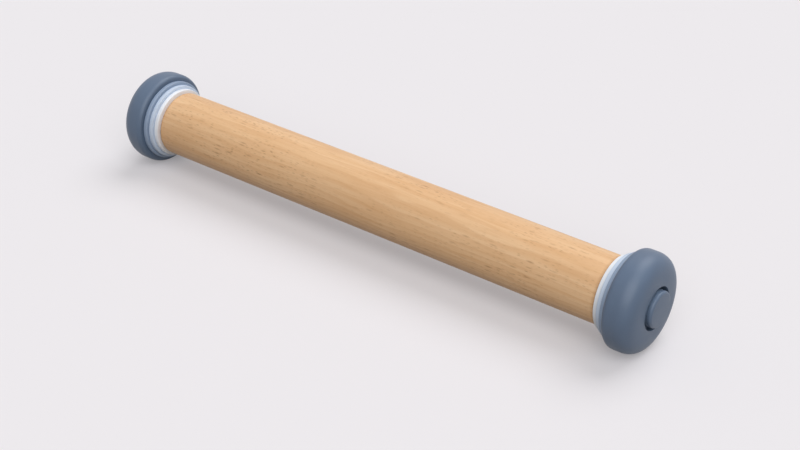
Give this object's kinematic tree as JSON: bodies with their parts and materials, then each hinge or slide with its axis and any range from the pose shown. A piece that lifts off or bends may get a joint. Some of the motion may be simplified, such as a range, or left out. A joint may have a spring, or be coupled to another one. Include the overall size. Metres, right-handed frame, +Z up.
{
  "type": "adjustable rolling pin",
  "caption": "Straight beech rolling pin with stacked, removable thickness discs at both ends, each stack clamped by a screw-in knob to roll dough to an even thickness.",
  "frame": {"origin": "centre of the roller, on its axis at half its length", "axes": "+X along the pin's axis towards the right end, +Z up, the pin lying level on its two end discs"},
  "size_m": [0.4284, 0.065, 0.065],
  "materials": {
    "beech": "oiled",
    "white_nylon": "moulded",
    "palest_plastic": "satin",
    "pale_plastic": "satin",
    "mid_plastic": "satin",
    "slate_plastic": "satin",
    "silicone": "matt"
  },
  "bodies": {
    "roller": {"roller": "beech", "left_thread_bush": "white_nylon", "right_thread_bush": "white_nylon"},
    "left_disc_2mm": {"left_disc_2mm": "palest_plastic"},
    "left_disc_4mm": {"left_disc_4mm": "pale_plastic"},
    "left_disc_6mm": {"left_disc_6mm": "mid_plastic"},
    "left_disc_10mm": {"left_disc_10mm": "slate_plastic"},
    "left_seal_ring": {"left_seal_ring": "silicone"},
    "left_knob": {"left_knob": "slate_plastic", "left_knob_cap": "slate_plastic"},
    "right_disc_2mm": {"right_disc_2mm": "palest_plastic"},
    "right_disc_4mm": {"right_disc_4mm": "pale_plastic"},
    "right_disc_6mm": {"right_disc_6mm": "mid_plastic"},
    "right_disc_10mm": {"right_disc_10mm": "slate_plastic"},
    "right_seal_ring": {"right_seal_ring": "silicone"},
    "right_knob": {"right_knob": "slate_plastic", "right_knob_cap": "slate_plastic"}
  },
  "joints": [
    {"name": "left_disc_2mm_slide", "type": "slide", "parent": "roller", "child": "left_disc_2mm", "axis": [-1, 0, 0], "range_m": [0, 0.024]},
    {"name": "left_disc_4mm_slide", "type": "slide", "parent": "left_disc_2mm", "child": "left_disc_4mm", "axis": [-1, 0, 0], "range_m": [0, 0.024]},
    {"name": "left_disc_6mm_slide", "type": "slide", "parent": "left_disc_4mm", "child": "left_disc_6mm", "axis": [-1, 0, 0], "range_m": [0, 0.024]},
    {"name": "left_disc_10mm_slide", "type": "slide", "parent": "left_disc_6mm", "child": "left_disc_10mm", "axis": [-1, 0, 0], "range_m": [0, 0.024]},
    {"name": "left_knob_travel", "type": "slide", "parent": "left_disc_10mm", "child": "left_seal_ring", "axis": [-1, 0, 0], "range_m": [0, 0.0101]},
    {"name": "left_knob_turn", "type": "hinge", "parent": "left_seal_ring", "child": "left_knob", "pos_m": [-0.2, 0, 0], "axis": [-1, 0, 0], "range_deg": [0, 900]},
    {"name": "right_disc_2mm_slide", "type": "slide", "parent": "roller", "child": "right_disc_2mm", "axis": [1, 0, 0], "range_m": [0, 0.024]},
    {"name": "right_disc_4mm_slide", "type": "slide", "parent": "right_disc_2mm", "child": "right_disc_4mm", "axis": [1, 0, 0], "range_m": [0, 0.024]},
    {"name": "right_disc_6mm_slide", "type": "slide", "parent": "right_disc_4mm", "child": "right_disc_6mm", "axis": [1, 0, 0], "range_m": [0, 0.024]},
    {"name": "right_disc_10mm_slide", "type": "slide", "parent": "right_disc_6mm", "child": "right_disc_10mm", "axis": [1, 0, 0], "range_m": [0, 0.024]},
    {"name": "right_knob_travel", "type": "slide", "parent": "right_disc_10mm", "child": "right_seal_ring", "axis": [1, 0, 0], "range_m": [0, 0.0101]},
    {"name": "right_knob_turn", "type": "hinge", "parent": "right_seal_ring", "child": "right_knob", "pos_m": [0.2, 0, 0], "axis": [1, 0, 0], "range_deg": [0, 900]}
  ],
  "couplings": [
    {"joint": "left_knob_travel", "follows": "left_knob_turn", "m_per_rad": 0.00063662},
    {"joint": "right_knob_travel", "follows": "right_knob_turn", "m_per_rad": 0.00063662}
  ]
}
